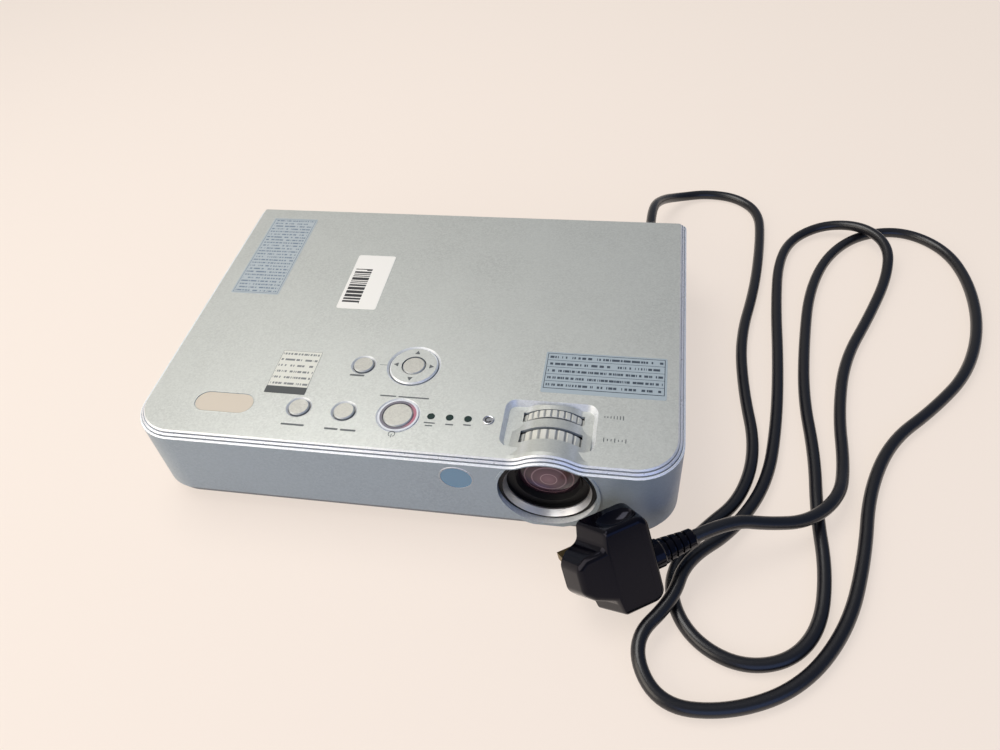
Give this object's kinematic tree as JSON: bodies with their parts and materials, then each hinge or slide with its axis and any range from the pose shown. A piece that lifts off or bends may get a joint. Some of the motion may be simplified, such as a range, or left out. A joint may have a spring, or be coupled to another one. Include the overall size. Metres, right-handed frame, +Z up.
{
  "type": "portable LCD projector",
  "caption": "Portable silver LCD projector with a domed lens hump, dial bay, key panel and its coiled black mains lead.",
  "frame": {"origin": "centre of the case's bounding box in plan, on the surface that the projector stands on; the mains lead isn't counted", "axes": "+X to the right seen from the front of the picture, -Y the way the lens looks, +Z up"},
  "size_m": [0.493, 0.4184, 0.0656],
  "materials": {
    "silver_top": "satin metallic paint",
    "pale_trim": "satin",
    "case_grey": "satin",
    "tray_grey": "fine grain",
    "key_grey": "satin",
    "clear_ring": "translucent",
    "sensor_metal": "polished",
    "black_plastic": "satin",
    "dial_cream": "satin",
    "coated_glass": "coated, polished",
    "optics_glass": "polished",
    "steel": "plated",
    "brass": "plain",
    "board_green": "solder mask",
    "engine_alloy": "cast",
    "lamp_shell": "heat proof",
    "foot_rubber": "matte",
    "filter_foam": "open foam",
    "cord_rubber": "semi gloss"
  },
  "bodies": {
    "case": {"bottom_tray": "tray_grey", "case_screws": "steel", "ceiling_mount_inserts": "brass", "connector_relief": "cord_rubber", "data_ports": "steel", "engine_housing": "engine_alloy", "engine_lid": "engine_alloy", "exhaust_fan_frame": "black_plastic", "exhaust_grille": "tray_grey", "filter_cover": "tray_grey", "indicator_guides": "clear_ring", "inlet_pins": "brass", "intake_filter": "filter_foam", "io_board": "board_green", "ir_window": "clear_ring", "key_board": "board_green", "key_switches": "board_green", "lamp_cover": "tray_grey", "lamp_module": "lamp_shell", "lcd_panels": "optics_glass", "lead_connector": "black_plastic", "lens_barrel": "black_plastic", "lens_bezel": "black_plastic", "lens_trim_ring": "sensor_metal", "light_sensor": "sensor_metal", "main_board": "board_green", "mains_inlet": "black_plastic", "mains_plug": "black_plastic", "plug_pins": "brass", "plug_relief": "cord_rubber", "power_cord": "cord_rubber", "power_light_ring": "clear_ring", "power_supply": "board_green", "prism_block": "optics_glass", "rear_feet": "foot_rubber", "rear_panel": "black_plastic", "signal_jacks": "black_plastic", "speaker": "black_plastic", "switch_housing": "black_plastic", "top_panel": "silver_top", "trim_band": "pale_trim", "upper_case": "case_grey"},
    "function_key": {"function_button": "key_grey"},
    "input_key": {"input_button": "key_grey"},
    "menu_key": {"menu_button": "key_grey"},
    "power_key": {"power_button": "key_grey"},
    "enter_key": {"enter_button": "key_grey"},
    "direction_rocker": {"nav_rocker": "black_plastic"},
    "direction_pad": {"nav_pad": "key_grey"},
    "zoom_ring": {"zoom_dial": "dial_cream"},
    "zoom_group": {"zoom_cell": "black_plastic", "zoom_glass": "coated_glass"},
    "focus_ring": {"focus_dial": "dial_cream"},
    "focus_group": {"focus_cell": "black_plastic", "front_glass": "coated_glass"},
    "left_foot": {"front_foot_left": "foot_rubber"},
    "right_foot": {"front_foot_right": "foot_rubber"},
    "switch_rocker": {"main_switch": "black_plastic"},
    "fan_rotor": {"exhaust_fan_rotor": "black_plastic"}
  },
  "joints": [
    {"name": "function_key_press", "type": "slide", "parent": "case", "child": "function_key", "axis": [0, 0, -1], "range_m": [0, 0.0008], "stiffness_N_per_m": 1500},
    {"name": "input_key_press", "type": "slide", "parent": "case", "child": "input_key", "axis": [0, 0, -1], "range_m": [0, 0.0008], "stiffness_N_per_m": 1500},
    {"name": "menu_key_press", "type": "slide", "parent": "case", "child": "menu_key", "axis": [0, 0, -1], "range_m": [0, 0.0008], "stiffness_N_per_m": 1500},
    {"name": "power_key_press", "type": "slide", "parent": "case", "child": "power_key", "axis": [0, 0, -1], "range_m": [0, 0.0008], "stiffness_N_per_m": 1500},
    {"name": "enter_key_press", "type": "slide", "parent": "case", "child": "enter_key", "axis": [0, 0, -1], "range_m": [0, 0.0008], "stiffness_N_per_m": 1500},
    {"name": "direction_rocker_tilt", "type": "hinge", "parent": "case", "child": "direction_rocker", "pos_m": [-0.0007, -0.0423, 0.05445], "axis": [1, 0, 0], "range_deg": [-3, 3], "stiffness_Nm_per_rad": 1},
    {"name": "direction_pad_tilt", "type": "hinge", "parent": "direction_rocker", "child": "direction_pad", "pos_m": [-0.0007, -0.0423, 0.05535], "axis": [0, 1, 0], "range_deg": [-3, 3], "stiffness_Nm_per_rad": 1},
    {"name": "zoom_turn", "type": "hinge", "parent": "case", "child": "zoom_ring", "pos_m": [0.0812, -0.07045, 0.04], "axis": [0, 1, 0], "range_deg": [-35, 35]},
    {"name": "zoom_slide", "type": "slide", "parent": "case", "child": "zoom_group", "axis": [0, 1, 0], "range_m": [-0.005, 0.005]},
    {"name": "focus_turn", "type": "hinge", "parent": "case", "child": "focus_ring", "pos_m": [0.0812, -0.0849, 0.04], "axis": [0, 1, 0], "range_deg": [-45, 45]},
    {"name": "focus_slide", "type": "slide", "parent": "case", "child": "focus_group", "axis": [0, 1, 0], "range_m": [-0.001, 0.001]},
    {"name": "left_foot_extend", "type": "slide", "parent": "case", "child": "left_foot", "axis": [0, 0, -1], "range_m": [0, 0.01]},
    {"name": "right_foot_extend", "type": "slide", "parent": "case", "child": "right_foot", "axis": [0, 0, -1], "range_m": [0, 0.01]},
    {"name": "mains_rocker", "type": "hinge", "parent": "case", "child": "switch_rocker", "pos_m": [0.098, 0.1015, 0.024], "axis": [1, 0, 0], "range_deg": [-16, 0]},
    {"name": "fan_spin", "type": "hinge", "parent": "case", "child": "fan_rotor", "pos_m": [-0.1397, 0.052, 0.034], "axis": [1, 0, 0], "continuous": true}
  ],
  "couplings": [
    {"joint": "zoom_slide", "follows": "zoom_turn", "m_per_rad": 0.008},
    {"joint": "focus_slide", "follows": "focus_turn", "m_per_rad": 0.00125}
  ]
}
